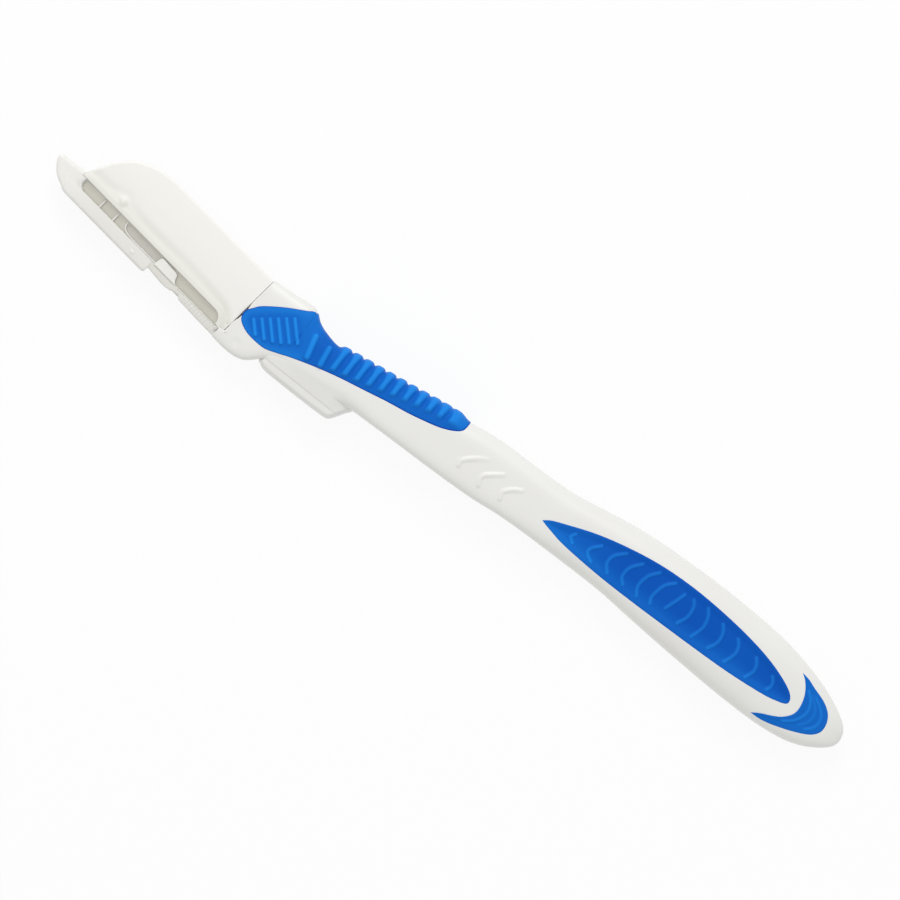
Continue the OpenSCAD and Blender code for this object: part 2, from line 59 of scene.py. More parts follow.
# %% Frames of the handle and of the head
MM = 0.001
LENGTH, WIDTH, THICK = 116.2, 13.8, 8.8
GROUND_Z = -4.2
MID = np.array([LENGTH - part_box("handle_core")[1][0] / MM, -0.2553, GROUND_Z])
TILT = np.radians(8.65)
SEAM_Y = 0.324 * WIDTH


def on_handle(x, y, z):
    """Points of the handle's frame, as rows of x, y and z where the solids lie."""
    return np.stack(np.broadcast_arrays(x - MID[0], y - MID[1], z - MID[2]), -1)


def on_head(u, v, z):
    """Points of the head's frame, where the solids lie."""
    x = -u * np.cos(TILT) + v * np.sin(TILT)
    y = u * np.sin(TILT) + v * np.cos(TILT) + SEAM_Y
    return on_handle(x, y, z)


print("middle of the razor on the handle's axis:", MID.round(3))

# %% [markdown]
# ## Curves and distances
# An outline is given by a few points, and a smooth curve runs through them. Many details depend on
# how far a point is from such a line: a rounded rim, a raised rib, a groove. One function measures
# that distance for thousands of points together, and small profiles turn it into a height.

# %% Curves, distances and profiles
def curve(points, steps):
    """A smooth open curve through the points, with so many steps between neighbours."""
    p = np.asarray(points, float)
    b, c = p[:-1], p[1:]
    a, d = np.vstack([p[:1], p[:-2]]), np.vstack([p[2:], p[-1:]])
    rows = [(2 * b + (c - a) * t + (2 * a - 5 * b + 4 * c - d) * t * t
             + (3 * b - a - 3 * c + d) * t ** 3) / 2 for t in np.arange(steps) / steps]
    return np.vstack([np.stack(rows, 1).reshape(-1, p.shape[1]), p[-1:]])


def distance(x, y, path):
    """Distance from each point to the nearest place on an open path."""
    spots = np.stack([np.ravel(x), np.ravel(y)], 1)
    best = np.full(len(spots), 1e9)
    for a, b in zip(path[:-1], path[1:]):
        run = b - a
        t = np.clip((spots - a) @ run / max(run @ run, 1e-12), 0, 1)
        best = np.minimum(best, np.hypot(*(spots - a - t[:, None] * run).T))
    return best.reshape(np.shape(x))


def depth_inside(x, y, outline):
    """Distance in from a closed outline, negative outside it."""
    closed = np.vstack([outline, outline[:1]])
    px, py = np.ravel(x), np.ravel(y)
    odd = np.zeros(len(px), bool)
    for (ax, ay), (bx, by) in zip(closed[:-1], closed[1:]):
        if ay != by:
            odd ^= ((ay > py) != (by > py)) & (px < (bx - ax) * (py - ay) / (by - ay) + ax)
    return np.where(odd.reshape(np.shape(x)), 1, -1) * distance(x, y, closed)


def step(value, low, high):
    """A smooth step from 0 at low to 1 at high."""
    t = np.clip((value - low) / (high - low), 0, 1)
    return t * t * (3 - 2 * t)


def rim(depth, radius):
    """Height of a rounded rim, from minus the radius at the edge up to 0."""
    d = np.clip(depth, 0, radius)
    return np.sqrt(radius ** 2 - (radius - d) ** 2) - radius


def bump(away, width):
    """A soft raised line, 1 along its middle and almost 0 past half its width."""
    return np.exp(-(away / (0.5 * width)) ** 4)


def finer(low, high, coarse, *zones):
    """Places from low to high, a coarse step apart, and finer inside each zone (from, to, step)."""
    spots = [low]
    while spots[-1] < high:
        gap = min([coarse] + [z[2] for z in zones if z[0] <= spots[-1] < z[1]])
        spots.append(spots[-1] + gap)
    return np.array(spots[:-1] + [high])


# %% [markdown]
# ## Making a mesh
# Most pieces are one skin: a flat grid of faces from the mesh tools, whose vertices are then moved to
# computed places. That keeps the faces even, and a grid that is rolled up closes where its two ends
# meet, once doubles are merged. The last step of each piece is shared: merge, take out what folds on
# itself, close, turn the faces outwards, shrink to metres, join the piece to what it rides on and hide
# the solid it stands for.

# %% Skins, solid shapes and finished pieces
MERGE, NARROW, QUAD = 0.003, 0.0015, 4


def skin(bm, points, shade_tint=None):
    """Lays a grid of faces over rows and columns of points, each with its own shade tint from 0 to 1.
    """
    rows, cols = points.shape[:2]
    layer = bm.verts.layers.float.get("shade_tint") or bm.verts.layers.float.new("shade_tint")
    made = bmesh.ops.create_grid(bm, x_segments=cols - 1, y_segments=rows - 1, size=1)["verts"]
    for v in made:
        spot = round((v.co.y + 1) / 2 * (rows - 1)), round((v.co.x + 1) / 2 * (cols - 1))
        v.co = points[spot]
        v[layer] = 0.5 if shade_tint is None else shade_tint[spot]


def prism(bm, outline, z0, z1, place, bevel, segments=3):
    """Extrudes an outline from z0 to z1 in a frame, with its edges rounded."""
    part = bmesh.new()
    verts = [part.verts.new((p[0], p[1], z0)) for p in outline]
    part.faces.new(verts)
    made = bmesh.ops.extrude_face_region(part, geom=part.faces[:])["geom"]
    bmesh.ops.translate(part, vec=(0, 0, z1 - z0),
                        verts=[g for g in made if isinstance(g, bmesh.types.BMVert)])
    bmesh.ops.recalc_face_normals(part, faces=part.faces)
    sharp = [e for e in part.edges if e.calc_face_angle(0) > 0.5]
    bmesh.ops.bevel(part, geom=sharp, offset=bevel, segments=segments, profile=0.5,
                    affect="EDGES", material=-1, clamp_overlap=True)
    for v in part.verts:
        v.co = place(*v.co)
    kept = bpy.data.meshes.new("part")
    part.to_mesh(kept)
    part.free()
    bm.from_mesh(kept)
    bpy.data.meshes.remove(kept)


def rectangle(u0, u1, v0, v1):
    """The outline of a rectangle."""
    return [(u0, v0), (u1, v0), (u1, v1), (u0, v1)]


def unfold(bm):
    """Takes out pairs of faces that merging has laid on one another, and what they leave loose."""
    same = {}
    for face in bm.faces:
        same.setdefault(frozenset(face.verts), []).append(face)
    doubled = [face for group in same.values() if len(group) > 1 for face in group]
    bmesh.ops.delete(bm, geom=doubled, context="FACES_ONLY")
    bmesh.ops.delete(bm, geom=[e for e in bm.edges if e.is_wire], context="EDGES")
    bmesh.ops.delete(bm, geom=[v for v in bm.verts if not v.link_faces], context="VERTS")


def piece(bm, name, body, finish, *nodes, sharp=40):
    """Closes a mesh, makes it an object in metres and joins it to the frame."""
    bmesh.ops.remove_doubles(bm, verts=bm.verts, dist=MERGE)
    bmesh.ops.dissolve_degenerate(bm, dist=NARROW, edges=bm.edges)
    unfold(bm)
    bmesh.ops.holes_fill(bm, edges=[e for e in bm.edges if e.is_boundary])
    wide = [f for f in bm.faces if len(f.verts) > QUAD]
    bmesh.ops.triangulate(bm, faces=wide, ngon_method="EAR_CLIP")
    bmesh.ops.recalc_face_normals(bm, faces=bm.faces)
    bmesh.ops.scale(bm, vec=(MM, MM, MM), verts=bm.verts)
    unpaired = sum(not e.is_manifold for e in bm.edges)
    mesh = bpy.data.meshes.new(name)
    bm.to_mesh(mesh)
    bm.free()
    mesh.polygons.foreach_set("use_smooth", [True] * len(mesh.polygons))
    mesh.set_sharp_from_angle(angle=np.radians(sharp))
    mesh.materials.append(finish["material"])
    made = bpy.data.objects.new(name, mesh)
    bpy.context.scene.collection.objects.link(made)
    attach(made, body)
    if nodes:
        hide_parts(*nodes)
    triangles = sum(len(p.vertices) - 2 for p in mesh.polygons)
    print(f"{name}: {triangles} triangles, {unpaired} open edges")
    return made


# %% [markdown]
# ## Finishes
# Every surface here is moulded plastic, rubber or steel, and each is told apart by its colour, its
# gloss and a grain far finer than a millimetre. The patterns read Object coordinates, so they stay on
# the piece. A small class lets socket maths read as maths, and one method makes any other node.

# %% Shader maths
class Value:
    """A node's output that takes part in sums."""

    def __init__(self, shading, socket):
        self.shading, self.socket = shading, socket

    def math(self, operation, first, second):
        """A maths node with two inputs."""
        return self.shading.node("ShaderNodeMath", {"operation": operation}, {0: first, 1: second})

    def greatest(self, other):
        return self.math("MAXIMUM", self, other)

    def __add__(self, other):
        return self.math("ADD", self, other)

    def __sub__(self, other):
        return self.math("SUBTRACT", self, other)

    def __rsub__(self, other):
        return self.math("SUBTRACT", other, self)

    def __mul__(self, other):
        return self.math("MULTIPLY", self, other)

    __radd__, __rmul__ = __add__, __mul__


class Shading:
    """The node tree of a material or of the world."""

    def __init__(self, owner, kind):
        owner.use_nodes = True
        self.tree = owner.node_tree
        self.shader = next(n for n in self.tree.nodes if n.type == kind)

    def node(self, kind, settings, sockets, out=0):
        """Adds a node, sets or links its inputs and gives back one of its outputs."""
        made = self.tree.nodes.new(kind)
        for key, value in settings.items():
            setattr(made, key, value)
        for key, value in sockets.items():
            if isinstance(value, Value):
                self.tree.links.new(value.socket, made.inputs[key])
            else:
                made.inputs[key].default_value = value
        return Value(self, made.outputs[out])

    def feed(self, socket, value):
        """Links a value to an input of the shader."""
        self.tree.links.new(value.socket, self.shader.inputs[socket])


class Finish(Shading):
    """A material with one Principled shader, whose plain sockets are set by name."""

    def __init__(self, name, **plain):
        self.material = bpy.data.materials.new(name)
        super().__init__(self.material, "BSDF_PRINCIPLED")
        for socket, value in plain.items():
            self.shader.inputs[socket.replace("_", " ")].default_value = value

    def place(self, turn=0.0, stretch=(1, 1, 1)):
        """Object coordinates in metres, turned about z and stretched."""
        spot = self.node("ShaderNodeTexCoord", {}, {}, "Object")
        return self.node("ShaderNodeMapping", {"vector_type": "POINT"},
                         {"Vector": spot, "Rotation": (0, 0, turn), "Scale": stretch})

    def noise(self, scale, detail=3.0, rough=0.5, **how):
        """Soft noise from 0 to 1, whose scale is counted to the metre."""
        return self.node("ShaderNodeTexNoise", {},
                         {"Vector": self.place(**how), "Scale": scale, "Detail": detail,
                          "Roughness": rough})

    def blend(self, amount, first, second):
        """Two colours mixed by an amount."""
        return self.node("ShaderNodeMix", {"data_type": "RGBA"}, {0: amount, 6: first, 7: second}, 2)

    def relief(self, height, depth_mm):
        """Tilts the shading as if the surface rose by a depth in millimetres."""
        self.feed("Normal", self.node("ShaderNodeBump", {},
                                      {"Height": height, "Distance": depth_mm * MM, "Strength": 1.0}))


def tone(red, green, blue):
    """A colour as it is seen on a screen, from 0 to 255, made linear."""
    return tuple(((c / 255 + 0.055) / 1.055) ** 2.4 for c in (red, green, blue)) + (1.0,)


def moulded(name, light, shade, gloss, grain=0.004, shade_tinted=False, **plain):
    """Moulded plastic: slow changes of tone, a fine grain, and gloss that varies a little."""
    made = Finish(name, **plain)
    cloud = made.noise(70.0, detail=2.0)
    if shade_tinted:
        # The shade tint holds painted light and shade on the rubber, and thickness on the cover.
        shade_tint = made.node("ShaderNodeAttribute", {"attribute_name": "shade_tint"}, {}, "Fac")
        cloud = 1 - shade_tint + (cloud - 0.5) * 0.12
    made.feed("Base Color", made.blend(cloud, light, shade))
    made.feed("Roughness", made.noise(240.0, detail=4.0) * 0.12 + (gloss - 0.06))
    made.relief(made.noise(5200.0, detail=2.0, rough=0.6), grain)
    return {"material": made.material, "slot": name}


# %% [markdown]
# The handle is glossy white polypropylene, the head a slightly creamier one. The soft grips are blue
# thermoplastic rubber: less glossy, with a grain that catches the light. On the rubber, raised lines
# are painted paler as a highlight and the gaps between them painted deeper as shade, and thin milky
# plastic is greyer over the steel. Those pieces carry a shade tint from 0 to 1 on their vertices, and
# the finish blends two tones by it.

# %% Plastics and rubber
white = moulded("white_plastic", tone(238, 238, 235), tone(231, 230, 226), 0.36, IOR=1.49)
cream = moulded("holder_plastic", tone(243, 242, 237), tone(226, 225, 217), 0.4, shade_tinted=True, IOR=1.49)
matt = moulded("guard_plastic", tone(236, 235, 231), tone(226, 225, 220), 0.6, IOR=1.49)
# Rubber tones: the pale one stands for a painted highlight, the deep one for painted shade; mixed, the
# plain blue.
blue = moulded("blue_rubber", tone(36, 147, 240), tone(0, 69, 174), 0.46, grain=0.008, shade_tinted=True,
               IOR=1.5, Specular_IOR_Level=0.05)
milky = moulded("cover_plastic", tone(250, 249, 244), tone(222, 219, 210), 0.32, shade_tinted=True, IOR=1.49,
                Transmission_Weight=0.1, Alpha=0.95)
clear = moulded("clear_tongue", tone(240, 241, 238), tone(234, 235, 231), 0.14, IOR=1.49,
                Alpha=0.1)
clear["slot"] = "cover_plastic"

# %% [markdown]
# The blade is a strip of rolled stainless steel. Rolling leaves fine lines along it, which show as
# long streaks of gloss and a relief of a few thousandths of a millimetre. The streaks are a noise that
# is turned along the blade and stretched.

# %% Steel
steel_finish = Finish("blade_steel", Metallic=1.0)
streak = steel_finish.noise(9000.0, detail=3.0, turn=float(TILT), stretch=(0.012, 1, 1))
cloud = steel_finish.noise(260.0, detail=2.0)
steel_finish.feed("Base Color", steel_finish.blend(streak * 0.6 + cloud * 0.4, tone(209, 206, 196),
                                                   tone(181, 178, 168)))
steel_finish.feed("Roughness", streak * 0.14 + 0.26)
steel_finish.relief(streak, 0.003)
steel = {"material": steel_finish.material, "slot": "blade_steel"}

# %% [markdown]
# ## Handle form
# The handle is a row of rounded cross-sections. A table gives, along its length, the spine edge, the
# belly edge and the thickness, as shares of the whole, and a smooth curve runs through the table. Each
# section is a squared ellipse, so a point on it needs only the place along the handle and an angle. It
# is squarest at the front, where it has to meet the flat head, and the waist has a crisp belly edge.

# %% Sections of the handle
stations = curve([
    [-0.026, 0.339, -0.601, 0.455], [0, 0.337, -0.638, 0.466], [0.018, 0.34, -0.643, 0.511],
    [0.03, 0.345, -0.623, 0.545], [0.038, 0.348, -0.587, 0.568], [0.047, 0.356, -0.52, 0.593],
    [0.056, 0.364, -0.46, 0.62], [0.07, 0.364, -0.42, 0.67], [0.078, 0.325, -0.413, 0.693],
    [0.087, 0.262, -0.406, 0.718], [0.1, 0.212, -0.397, 0.75], [0.125, 0.165, -0.377, 0.795],
    [0.15, 0.187, -0.358, 0.823], [0.185, 0.225, -0.333, 0.841], [0.24, 0.283, -0.326, 0.841],
    [0.29, 0.342, -0.326, 0.841], [0.33, 0.375, -0.326, 0.835], [0.365, 0.412, -0.322, 0.827],
    [0.4, 0.428, -0.311, 0.819], [0.435, 0.425, -0.284, 0.818], [0.475, 0.428, -0.272, 0.83],
    [0.51, 0.446, -0.272, 0.849], [0.545, 0.492, -0.273, 0.874], [0.58, 0.541, -0.277, 0.9],
    [0.62, 0.58, -0.29, 0.932], [0.66, 0.597, -0.322, 0.963], [0.71, 0.606, -0.358, 0.99],
    [0.76, 0.603, -0.387, 1], [0.81, 0.583, -0.413, 0.97], [0.85, 0.554, -0.423, 0.938],
    [0.885, 0.502, -0.424, 0.876], [0.915, 0.44, -0.405, 0.793], [0.94, 0.374, -0.369, 0.7],
    [0.962, 0.295, -0.3, 0.591], [0.977, 0.227, -0.226, 0.48], [0.985, 0.18, -0.176, 0.38],
    [0.991, 0.13, -0.127, 0.28], [0.9945, 0.08, -0.085, 0.19], [0.9962, 0.03, -0.045, 0.1],
    [1, 0.02, -0.04, 0.09]], 8)
TAIL = 0.9962 * LENGTH
BULB, WAIST, FRONT = 2.9, 0.6, 1.9
BELLY = 1.8


def section(x):
    """Middle, half width and half thickness of the section at x."""
    spine, belly, thick = (np.interp(x / LENGTH, stations[:, 0], stations[:, k]) for k in (1, 2, 3))
    return (spine + belly) / 2 * WIDTH, (spine - belly) / 2 * WIDTH, thick / 2 * THICK


def power(x, belly):
    """How square the section is: 2 is an ellipse. The waist is squarer on its belly side."""
    crisp = belly * step(x, 20, 30) * (1 - step(x, 50, 66))
    return BULB + WAIST * (1 - step(x, 50, 70)) + FRONT * (1 - step(x, 2, 11)) + BELLY * crisp


def round_at(x, angle, out=0.0):
    """y and z at an angle round the section, raised by out."""
    middle, half, thick = section(x)
    c, s = np.cos(angle), np.sin(angle)
    p = power(x, c < 0)
    reach = (np.abs(c) ** p + np.abs(s) ** p) ** (-1 / p)
    return middle + (half + out) * reach * c, (thick + out) * reach * s


def angle_at(x, y):
    """Angle on the upper side at which the section reaches y."""
    middle, half, _ = section(x)
    c = np.clip((y - middle) / half, -1, 1)
    p = power(x, c < 0)
    return np.arctan2((1 - np.abs(c) ** p) ** (1 / p), c)


def top_at(x, y, out=0.0):
    """Height of the upper surface over x and y, raised by out."""
    middle, half, thick = section(x)
    c = np.clip((y - middle) / half, -1, 1)
    p = power(x, c < 0)
    return (thick + out) * (1 - np.abs(c) ** p) ** (1 / p)


print("handle is", round(float(section(np.arange(LENGTH))[2].max() * 2), 2), "mm thick")

# %% [markdown]
# ## Outlines of the blue parts
# The thumb grip starts on the white near the seam, follows the belly side of the face and wraps over
# the spine. The leaf lies in the rear bulb and the crescent at the tail. The same outlines shape the
# blue pieces and hollow the white under them.

# %% Outlines
def shares(points, *size):
    """Points given as shares of a length and a width."""
    return np.array(points, float) * np.array(size)


pad_edge = curve(shares([
    [0.0765, 0.327], [0.0745, 0.33], [0.072, 0.326], [0.0675, 0.306], [0.063, 0.281], [0.037, 0.167],
    [0.011, 0.022], [0.0018, -0.062], [-0.0035, -0.125], [-0.0045, -0.19], [-0.003, -0.245],
    [0.004, -0.298], [0.0155, -0.341], [0.03, -0.363], [0.048, -0.366], [0.0669, -0.319],
    [0.0833, -0.271], [0.1169, -0.19], [0.1521, -0.122], [0.1881, -0.068], [0.2242, -0.013],
    [0.261, 0.033], [0.2963, 0.096], [0.3127, 0.142], [0.324, 0.19], [0.3314, 0.243],
    [0.334, 0.31]], LENGTH, WIDTH), 8)
PAD_FRONT, PAD_REAR = pad_edge[0, 0], pad_edge[-1, 0]
pad_outline = np.vstack([[PAD_FRONT, WIDTH], pad_edge, [PAD_REAR, WIDTH]])

crescent_sides = [curve(side, 8) for side in (
    [(104.1, 5.2), (105.4, 4.25), (106.5, 2.8), (107.1, 1.19), (107.25, -0.3), (106.85, -1.4),
     (105.8, -2.5), (104.4, -3.3), (102.8, -4.05), (101.3, -5.0)],
    [(104.1, 5.2), (105.9, 4.9), (107.54, 4.3), (109.82, 3.54), (111.28, 2.65), (112.11, 1.68),
     (112.55, 0.43), (112.49, -0.81), (111.71, -1.89), (110.36, -2.74), (108.25, -3.63),
     (106.41, -4.25), (104.86, -4.7), (103.2, -4.98), (101.3, -5.0)])]
crescent_outline = np.vstack([crescent_sides[0], crescent_sides[1][::-1]])

LEAF_X, LEAF_L, LEAF_W = 56.8184, 48.8, 8
leaf_outline = curve(shares([
    [0, -0.05], [0.025, 0.06], [0.066, 0.165], [0.169, 0.39], [0.281, 0.555], [0.4, 0.665],
    [0.529, 0.695], [0.668, 0.645], [0.793, 0.545], [0.889, 0.41], [0.965, 0.23], [0.995, 0.08],
    [0.995, -0.06], [0.96, -0.14], [0.906, -0.2], [0.783, -0.26], [0.652, -0.28], [0.52, -0.285],
    [0.389, -0.285], [0.254, -0.265], [0.113, -0.2], [0.04, -0.115], [0, -0.05]],
    LEAF_L, LEAF_W) + [LEAF_X, 0], 6)
print("leaf from", leaf_outline[:, 0].min().round(2), "to", leaf_outline[:, 0].max().round(2), "mm")

# %% [markdown]
# ## White handle
# On the real razor this is one hard moulding, and the rubber is moulded onto it. It is made as one
# rolled grid: rings along the handle, columns round it. Its front rings lean over to follow the seam
# with the head, and a low web behind the seam keeps light from shining through it. Where rubber lies
# on the white the surface sinks, so the rubber's own rim draws the line. The three thin arcs behind
# the thumb grip are raised out of the grid, which is finer there, and a gate mark dents the heel.

# %% Handle shell
brows = [curve(path, 6) for path in (
    [(41.2, -1.3), (41.1, -0.6), (41.6, 0.1), (42.9, 1.2), (44.4, 2.1)],
    [(45.6, -1.9), (45.2, -0.9), (45.5, -0.1), (46.5, 0.7), (47.9, 1.7)],
    [(49.6, -1.6), (49.3, -0.7), (49.7, 0.0), (50.6, 0.8), (51.7, 1.4)])]


def seam_line(y):
    """The straight line along which head and handle meet."""
    return 0.1521 * (y - 4.41)


def seam_x(y):
    """Front end of the handle: the seam's line, open beside the grip, with a lip at the heel."""
    gap = 0.25 * step(-y, 0.0, 1.8) * (1 - 0.8 * step(-y, 3.2, 4.6))
    return 0.39 + seam_line(y) + gap - 0.905 * step(-y, 6.7, 6.8)


LEAN, INNER_RING = 6, 0.95
GATE = (0.012 * LENGTH, -0.504 * WIDTH)
handle = bmesh.new()
along = np.concatenate([
    [0, 0, 0, 0.03, 0.08],
    finer(0.25, TAIL - 1.2, 0.5, (0, LEAN, 0.22), (40.3, 53.2, 0.13), (104, 120, 0.3)),
    TAIL - np.array([0.95, 0.7, 0.5, 0.35, 0.22, 0.12, 0.05, 0.0])])
inset = np.interp(np.arange(len(along)), range(6), [0.4, 0.3, 0.1, 0.04, 0.01, 0])
angle = np.radians(np.linspace(0, 360, 161))
base, turn = np.meshgrid(along, angle, indexing="ij")
x = base
for _ in range(3):
    y, z = round_at(x, turn)
    x = np.where(base < LEAN, base + seam_x(y) * (1 - base / LEAN), base)
    x[0] = INNER_RING + seam_line(y[0])
sunk = np.zeros_like(x)
for outline in (pad_outline, leaf_outline, crescent_outline):
    sunk = np.maximum(sunk, 0.6 * step(depth_inside(x, y, outline), 0.28, 0.75))
arcs = sum(0.2 * bump(distance(x, y, path), 0.7) * (1 - 0.6 * step(x - path[0, 0], 0.8, 3.2))
           for path in brows)
off_gate = np.hypot(x - GATE[0], y - GATE[1])
dimple = np.where(z > 0, 0.14 * (1 - step(off_gate, 0.1, 1.0)), 0)
y, z = round_at(x, turn, arcs - sunk - dimple - inset[:, None])
skin(handle, on_handle(x, y, np.maximum(z, GROUND_Z)))
WEB = [(-1.6, -6.7), (0.6, -6.7), (1.4, 3.9), (0.0, 3.9)]
prism(handle, WEB, -1.2, -0.5, on_handle, 0.1)

# %% [markdown]
# The flange under the belly keeps a finger from the blade. It runs out of the same moulding: its face
# slopes down from the handle's own face, which it leaves where the two touch without a crease, to a
# bead along the edge, a fine step lower. Each row of this grid goes out over the top, round the rim
# and back under.

# %% Finger flange
fin_edge = curve(shares([
    [0.0515, -0.6], [0.051, -0.86], [0.0545, -0.9], [0.064, -0.96], [0.091, -0.983], [0.134, -1],
    [0.162, -1], [0.171, -0.99], [0.1765, -0.94], [0.181, -0.85], [0.188, -0.7], [0.196, -0.55]],
    LENGTH, 8.1), 10)
BEAD_Z, STEP_Z, ROOT_Y, FILLET = 2.1, 0.15, -2.4, 0.08
fraction = np.concatenate([np.linspace(0, 0.9, 60), 1 - 0.1 * (1 - np.linspace(0, 1, 14)[1:]) ** 2])
run, out = np.meshgrid(np.arange(len(fin_edge)), fraction, indexing="ij")
root_x = np.interp(run, [0, len(fin_edge) - 1], [6.6, 22.0])
x = root_x + (fin_edge[run, 0] - root_x) * out
y = ROOT_Y + (fin_edge[run, 1] - ROOT_Y) * out
depth = distance(x, y, fin_edge)
step_y = -6.15 - 0.028 * (x - 9.3)
lines = np.linspace(-4.8, -2.6, 12)[:, None, None]
over = top_at(x, y) - 0.1
slopes = (top_at(x, lines) - BEAD_Z - 0.21) / (lines - step_y)
steep, touch_y = slopes.max(axis=0), lines[slopes.argmax(axis=0), 0, 0]
inside = step(y - step_y, -0.12, 0.08)
plane = BEAD_Z + 0.2 * (y - step_y) + inside * (STEP_Z + (steep - 0.2) * (y - step_y))
plane = np.where(y > touch_y, over + 0.04 - 0.5 * step(y - touch_y, 0, 1.0), plane)
blended = (plane + over) / 2 + np.sqrt(((plane - over) / 2) ** 2 + FILLET ** 2)
blended = over + (blended - over) * (1 - step(depth_inside(x, y, pad_outline), -0.8, -0.15))
ends = step(x, 5.2, 7.6) * (1 - step(x, 18.5, 22.8))
low = np.maximum(over, 1.5)
z = low + (blended - low) * ends
z = z * np.sqrt(1 - (1 - np.clip(depth / 0.8, 0, 1)) ** 2)
both = np.concatenate([on_handle(x, y, z), on_handle(x, y, -z)[:, ::-1]], 1)
skin(handle, both)
piece(handle, "handle_shell", "razor", white, "handle_core")

# %% [markdown]
# ## Thumb grip
# A soft skin with six thin ridges where the thumb rests, two short ribs and eleven cross ribs that
# wrap over the spine. Half of it is a grid from the spine down to the grip's lower edge, and the other
# half is its mirror image below. The rim is rounded and a little proud of the white. The rubber has an
# upper and an under sheet, which meet at the rim and nowhere else.

# %% Ribs and ridges
ridge_start, ridge_step, ridge_run = np.array([[1.47, -2.34], [1.036, 0.776], [2.44, -2.47]])
ridges = [ridge_start + i * ridge_step + np.outer([0, share], ridge_run)
          for i, share in enumerate((0.66, 0.88, 0.98, 1.04, 1.06, 1.1))]
short_ribs = [shares(path, LENGTH, WIDTH) for path in (
    [[0.0945, 0.085], [0.1015, -0.135]], [[0.119, 0.062], [0.122, -0.117]])]
rib_feet = shares([[0.13, -0.14], [0.19, -0.03], [0.232, 0.06], [0.274, 0.14], [0.33, 0.205]],
                  LENGTH, WIDTH)
RIB_X, RIB_PITCH, RIB_W, RIB_H, RIBS = 0.135 * LENGTH, 2.0, 0.95, 0.6, 11
RIDGE_H = 0.3


def grip_relief(x, y, turn):
    """How far ribs and ridges stand out of the skin, with a painted highlight on them and shade
    between.
    """
    away = np.min([distance(x, y, path) for path in ridges], axis=0)
    fine, among = bump(away, 0.62), bump(away, 1.9)
    wide = sum(bump(distance(x, y, path), 1.05) for path in short_ribs)
    nearest = np.clip(np.round((x - RIB_X - RIB_W / 2) / RIB_PITCH), 0, RIBS - 1)
    away = np.abs(x - RIB_X - RIB_W / 2 - nearest * RIB_PITCH)
    crest = 1 - step(np.abs(turn), 0.28, 1.04)
    foot = step(y - np.interp(x, rib_feet[:, 0], rib_feet[:, 1]), 0.05, 0.75)
    over = bump(np.where(x > RIB_X + 20.5, 0, away), 1.05 + 0.8 * crest)
    over = 1 - (1 - over) * (1 - 0.5 * step(x, 28, 36) * crest)
    wide = wide + foot * over * (1 - step(x, 36.3, 38.7))
    # Painted shade over the rib field and round each ridge; a painted highlight on ridges and ribs.
    field = step(x, 10.5, 12.5) * (1 - step(x, 37.2, 38.2))
    shade_tint = 0.46 - 0.16 * field - 0.09 * among + 0.5 * fine + 0.45 * np.clip(wide, 0, 1)
    return RIDGE_H * fine + RIB_H * wide, shade_tint


# %% Grip skin
nose = int(np.argmin(pad_edge[:, 0]))
upper, lower = pad_edge[:nose + 1][::-1], pad_edge[nose:]
start = pad_edge[nose, 0]
rows = np.concatenate([start + np.array([0.0, 0.01, 0.03, 0.07, 0.12, 0.18, 0.25, 0.33, 0.42]),
                       finer(start + 0.52, PAD_FRONT - 0.02, 0.13),
                       PAD_FRONT + np.array([0.0, 0.02, 0.05, 0.09, 0.14, 0.2, 0.27, 0.35]),
                       finer(PAD_FRONT + 0.45, PAD_REAR - 0.45, 0.15),
                       PAD_REAR - np.array([0.35, 0.27, 0.2, 0.14, 0.09, 0.05, 0.02, 0.0])])
low_y = np.interp(rows, lower[:, 0], lower[:, 1])
high = np.where(rows < PAD_FRONT, angle_at(rows, np.interp(rows, upper[:, 0], upper[:, 1])), 0.0)
low = angle_at(rows, low_y)
edge_steps = np.array([0, 0.003, 0.008, 0.015, 0.024])
fraction = np.concatenate([edge_steps, np.linspace(0.034, 0.966, 58), 1 - edge_steps[::-1]])
turn = high[:, None] + (low - high)[:, None] * fraction
x = np.broadcast_to(rows[:, None], turn.shape)
y, _ = round_at(x, turn)
depth = distance(x, y, pad_outline)
relief, shade_tint = grip_relief(x, y, turn)
# A painted highlight along the rim at the grip's front, and a painted shade line at its very edge.
shade_tint = shade_tint + 0.12 * (1 - step(depth, 0.3, 1.6)) * (1 - step(x, 10, 13))
shade_tint = shade_tint - 0.5 * (1 - step(depth, 0.1, 0.32))
lift = 0.1 + rim(depth, 0.3) + relief * step(depth, 0.1, 0.5)
deep = np.where(x == PAD_FRONT, np.maximum(depth, 0.1), depth)
grip = bmesh.new()
for out in (lift, lift[0, 0] - 0.6 * step(deep, 0, 0.8)):
    over_y, over_z = round_at(x, turn, out)
    skin(grip, on_handle(x, over_y, over_z), shade_tint)
    skin(grip, on_handle(x, over_y, np.maximum(-over_z, GROUND_Z)), shade_tint)
piece(grip, "soft_thumb_grip", "razor", blue, "thumb_grip", sharp=60)

# %% [markdown]
# ## Leaf and crescent
# Two inlays on each side. Both are slightly dished, so the rim catches a line of light. The leaf has
# thirteen thin arcs across it, bowed away from its middle, and the crescent three that follow its
# inner curve. Each is a grid laid over the handle's surface between the two sides of its outline.

# %% Inlay surfaces
def inlay(name, x, y, outline, lines, dish, depth, pale, nodes):
    """Rounded rim, dished field and raised lines, the same on the front and on the back."""
    far = np.maximum(depth_inside(x, y, outline), 0)
    lift = 0.06 + rim(far, 0.25) - dish * step(far, 0.15, 1.5) + 0.2 * lines * step(far, 0.3, 0.8)
    # A painted highlight on the raised lines, over the field's own shade tint.
    shade_tint = pale + 0.3 * lines + np.zeros_like(x)
    under = lift[0, 0] - depth * step(far, 0, 0.7)
    for side, node in zip((1, -1), nodes):
        bm = bmesh.new()
        for out in (lift, under):
            skin(bm, on_handle(x, y, np.maximum(side * top_at(x, y, out), GROUND_Z)), shade_tint)
        piece(bm, name + ("_front" if side > 0 else "_back"), "razor", blue, node, sharp=60)


